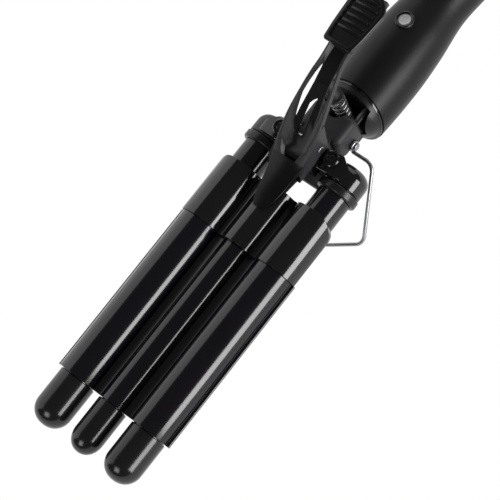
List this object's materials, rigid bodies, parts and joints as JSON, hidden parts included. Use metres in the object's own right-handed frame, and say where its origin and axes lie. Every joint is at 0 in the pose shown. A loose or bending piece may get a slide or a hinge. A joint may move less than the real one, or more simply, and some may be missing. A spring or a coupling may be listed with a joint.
{
  "type": "hair waver",
  "caption": "Hair waver with parallel barrels, a sprung upper jaw under a thumb lever, a folding wire stand, a power button and a swivelling cord inlet.",
  "frame": {"origin": "centre of the cord inlet's mouth, in the swivel at the grip's rear end", "axes": "+X along the grip's axis to the barrel tips, +Z to the thumb lever's side, +Y to the right barrel"},
  "size_m": [0.409, 0.0872, 0.1088],
  "materials": {
    "grip_coat": "soft matte",
    "satin_black": "satin",
    "dark_grey": "matte",
    "mid_grey": "matte",
    "gloss_black": "gloss",
    "lever_grey": "satin",
    "black_barrel": "gloss",
    "steel": "brushed",
    "bright_steel": "polished",
    "heater_aluminium": "plain",
    "ceramic": "plain",
    "board_green": "satin",
    "board_part": "plain",
    "wire_cover": "matte",
    "silver_button": "satin"
  },
  "bodies": {
    "grip_body": {"grip_upper_shell": "grip_coat", "grip_lower_shell": "grip_coat", "nose_cap": "satin_black", "end_cap": "satin_black", "neck_block": "dark_grey", "neck_chassis": "steel", "cross_plate": "mid_grey", "yoke_arm_left": "gloss_black", "yoke_arm_right": "gloss_black", "collar_left": "satin_black", "collar_right": "gloss_black", "heat_rings": "satin_black", "barrel_left": "black_barrel", "barrel_right": "black_barrel", "trough_plate": "black_barrel", "cap_left": "satin_black", "cap_right": "satin_black", "heater_shoes": "heater_aluminium", "heater_plates": "ceramic", "hinge_pin": "bright_steel", "stand_rivets": "bright_steel", "return_spring": "bright_steel", "button_bezel": "gloss_black", "circuit_board": "board_green", "board_parts": "board_part", "tact_switch": "board_part", "lead_wires": "wire_cover", "mains_wires": "wire_cover", "grip_screws": "steel", "yoke_screws": "steel"},
    "upper_jaw": {"lever_frame": "lever_grey", "thumb_pad": "satin_black", "jaw_root": "satin_black", "jaw_section": "black_barrel", "cap_middle": "satin_black", "jaw_heater": "heater_aluminium", "jaw_screws": "steel"},
    "stand": {"stand_wire": "bright_steel"},
    "button": {"power_button": "silver_button"},
    "cord_swivel": {"swivel_gland": "satin_black"}
  },
  "joints": [
    {"name": "jaw_hinge", "type": "hinge", "parent": "grip_body", "child": "upper_jaw", "pos_m": [0.195, 0, 0.0275], "axis": [0, -1, 0], "range_deg": [0, 22], "stiffness_Nm_per_rad": 1.2, "springref_deg": -17.19, "deforming": ["return_spring"]},
    {"name": "stand_hinge", "type": "hinge", "parent": "grip_body", "child": "stand", "pos_m": [0.1774, 0, 0.0045], "axis": [0, 1, 0], "range_deg": [0, 110]},
    {"name": "power_press", "type": "slide", "parent": "grip_body", "child": "button", "axis": [0.1045, 0, -0.9945], "range_m": [0, 0.0006], "stiffness_N_per_m": 500, "springref_m": -0.001},
    {"name": "swivel_turn", "type": "hinge", "parent": "grip_body", "child": "cord_swivel", "pos_m": [0, 0, 0], "axis": [1, 0, 0], "continuous": true}
  ]
}
